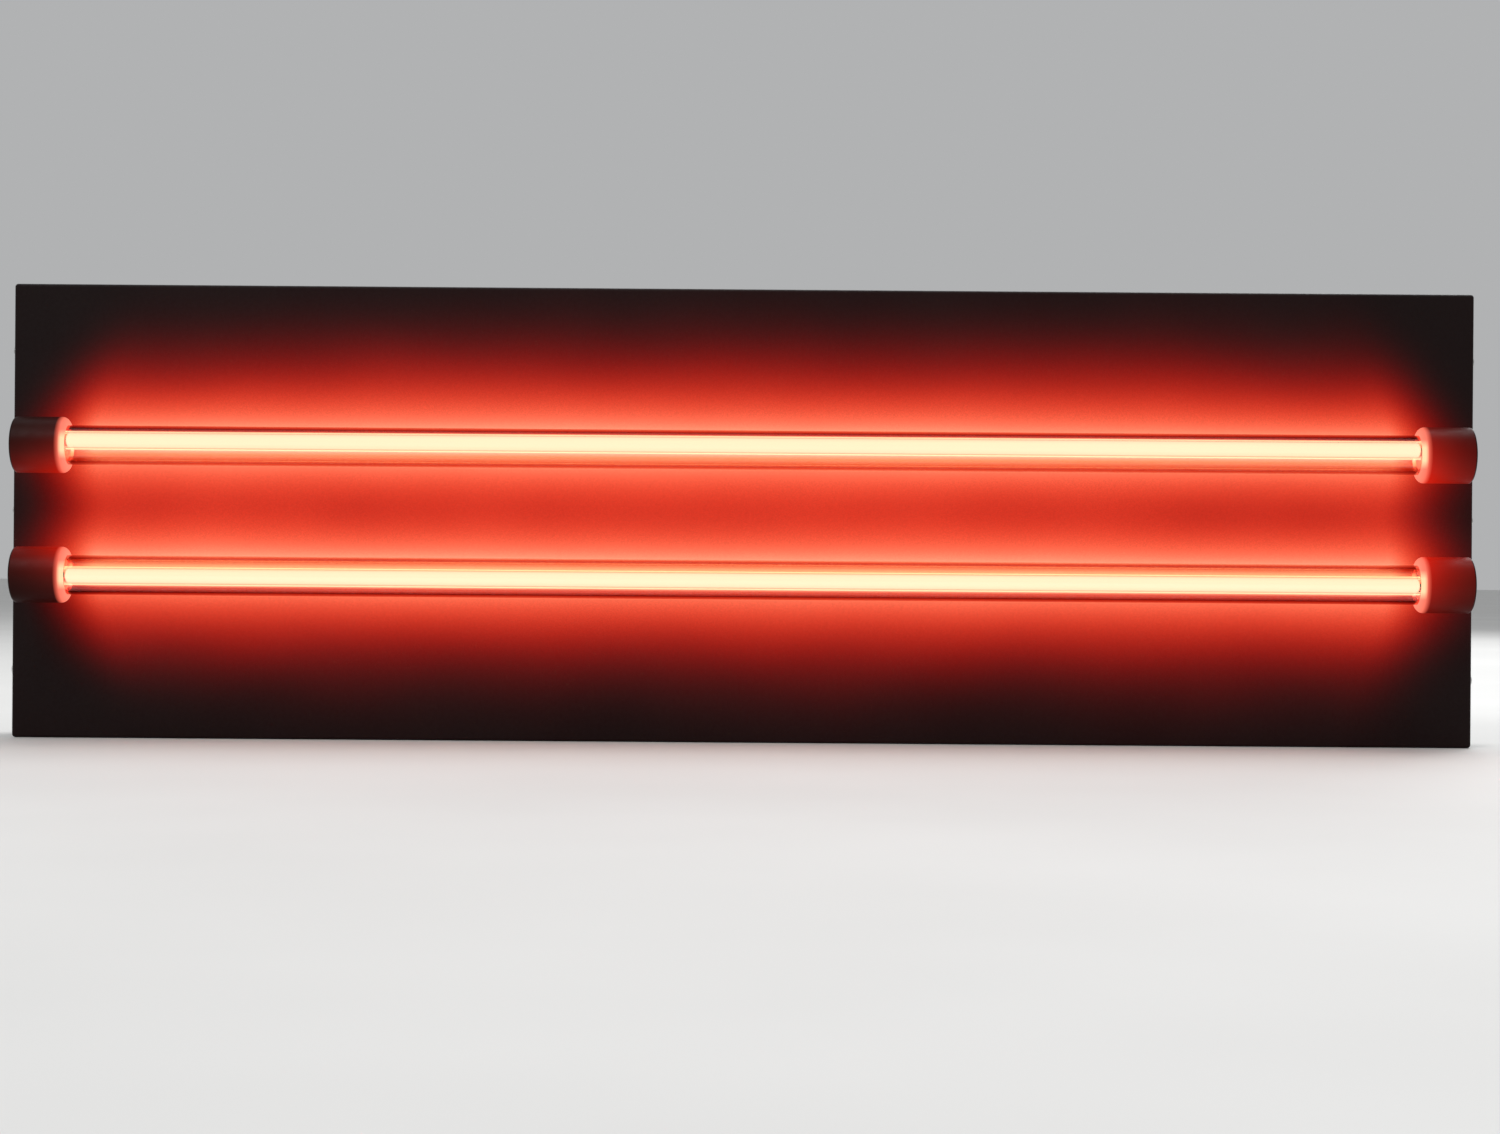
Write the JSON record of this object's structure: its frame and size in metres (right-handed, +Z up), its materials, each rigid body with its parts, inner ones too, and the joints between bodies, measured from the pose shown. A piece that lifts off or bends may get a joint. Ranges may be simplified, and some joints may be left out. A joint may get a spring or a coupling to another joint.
{
  "type": "neon advertising sign",
  "caption": "Flat wall-hung sign case with two long level neon tubes in clear sleeves, held by porcelain end sockets.",
  "frame": {"origin": "centre of the back face, where the tray meets the wall", "axes": "+X to the right along the tubes, +Y into the wall (the sign faces -Y), +Z up"},
  "size_m": [0.9219, 0.0993, 0.284],
  "materials": {
    "charcoal_powder_coat": "fine-texture satin powder coat, nearly black",
    "zinc_steel": "bright zinc plating",
    "spring_steel": "drawn spring wire",
    "clear_sleeve": "clear drawn glass",
    "neon_glass": "clear thin glass filled with glowing neon",
    "nickel": "drawn nickel-plated iron shell",
    "brass": "turned brass",
    "porcelain": "very dark brown glazed porcelain",
    "grey_silicone": "matt grey silicone rubber",
    "black_rubber": "matt black rubber",
    "black_plastic": "fine-spark black plastic",
    "natural_nylon": "natural nylon",
    "rocker_red": "polished red plastic",
    "bare_aluminium": "mill-finish aluminium",
    "board_green": "green solder mask on glass-epoxy laminate",
    "ferrite": "sintered dark grey ferrite",
    "potting_resin": "brown potting resin",
    "lead_insulation": "off-white silicone insulation",
    "brown_insulation": "brown insulation",
    "blue_insulation": "blue insulation",
    "earth_insulation": "green and yellow insulation",
    "fuse_glass": "glass cartridge with plated end caps"
  },
  "bodies": {
    "root": {"back_tray": "charcoal_powder_coat", "board_spacers": "natural_nylon", "cable_grommet": "black_rubber", "contact_sleeves": "brass", "contact_spring_lower_left": "spring_steel", "contact_spring_lower_right": "spring_steel", "contact_spring_upper_left": "spring_steel", "contact_spring_upper_right": "spring_steel", "earth_wire": "earth_insulation", "ferrite_core": "ferrite", "filter_capacitors": "bare_aluminium", "front_panel": "charcoal_powder_coat", "fuse_holder": "black_plastic", "fuse_holder_nut": "zinc_steel", "fuse_link_wire": "brown_insulation", "high_voltage_winding": "potting_resin", "lead_clips": "natural_nylon", "live_wire": "brown_insulation", "lower_electrodes": "nickel", "lower_neon_tube": "neon_glass", "lower_sleeve": "clear_sleeve", "lower_supply_lead": "lead_insulation", "lower_tube_bushes": "grey_silicone", "lower_tube_caps": "brass", "neutral_wire": "blue_insulation", "output_bushings": "porcelain", "panel_screws": "zinc_steel", "press_studs": "zinc_steel", "rivet_nuts": "zinc_steel", "series_link_lead": "lead_insulation", "sleeve_gaskets": "grey_silicone", "socket_gaskets": "grey_silicone", "socket_lower_left": "porcelain", "socket_lower_right": "porcelain", "socket_plugs": "black_plastic", "socket_screws": "zinc_steel", "socket_upper_left": "porcelain", "socket_upper_right": "porcelain", "stud_nuts": "zinc_steel", "supply_board": "board_green", "supply_case": "bare_aluminium", "supply_lid": "bare_aluminium", "supply_live_wire": "brown_insulation", "switch_blades": "brass", "switch_body": "black_plastic", "terminal_block": "natural_nylon", "terminal_screws": "brass", "upper_electrodes": "nickel", "upper_neon_tube": "neon_glass", "upper_sleeve": "clear_sleeve", "upper_supply_lead": "lead_insulation", "upper_tube_bushes": "grey_silicone", "upper_tube_caps": "brass"},
    "plunger_upper_left": {"contact_plunger_upper_left": "brass"},
    "plunger_upper_right": {"contact_plunger_upper_right": "brass"},
    "plunger_lower_left": {"contact_plunger_lower_left": "brass"},
    "plunger_lower_right": {"contact_plunger_lower_right": "brass"},
    "rocker": {"switch_rocker": "rocker_red"},
    "fuse_slide": {"fuse_carrier": "black_plastic", "fuse": "fuse_glass"}
  },
  "joints": [
    {"name": "power_switch", "type": "hinge", "parent": "root", "child": "rocker", "pos_m": [0.4553, -0.021, -0.108], "axis": [0, 1, 0], "range_deg": [0, 18]},
    {"name": "fuse_pull", "type": "slide", "parent": "root", "child": "fuse_slide", "axis": [1, 0, 0], "range_m": [0, 0.032]},
    {"name": "contact_upper_left", "type": "slide", "parent": "root", "child": "plunger_upper_left", "axis": [-1, 0, 0], "range_m": [0, 0.0025], "stiffness_N_per_m": 400, "deforming": ["contact_spring_upper_left"]},
    {"name": "contact_upper_right", "type": "slide", "parent": "root", "child": "plunger_upper_right", "axis": [1, 0, 0], "range_m": [0, 0.0025], "stiffness_N_per_m": 400, "deforming": ["contact_spring_upper_right"]},
    {"name": "contact_lower_left", "type": "slide", "parent": "root", "child": "plunger_lower_left", "axis": [-1, 0, 0], "range_m": [0, 0.0025], "stiffness_N_per_m": 400, "deforming": ["contact_spring_lower_left"]},
    {"name": "contact_lower_right", "type": "slide", "parent": "root", "child": "plunger_lower_right", "axis": [1, 0, 0], "range_m": [0, 0.0025], "stiffness_N_per_m": 400, "deforming": ["contact_spring_lower_right"]}
  ]
}
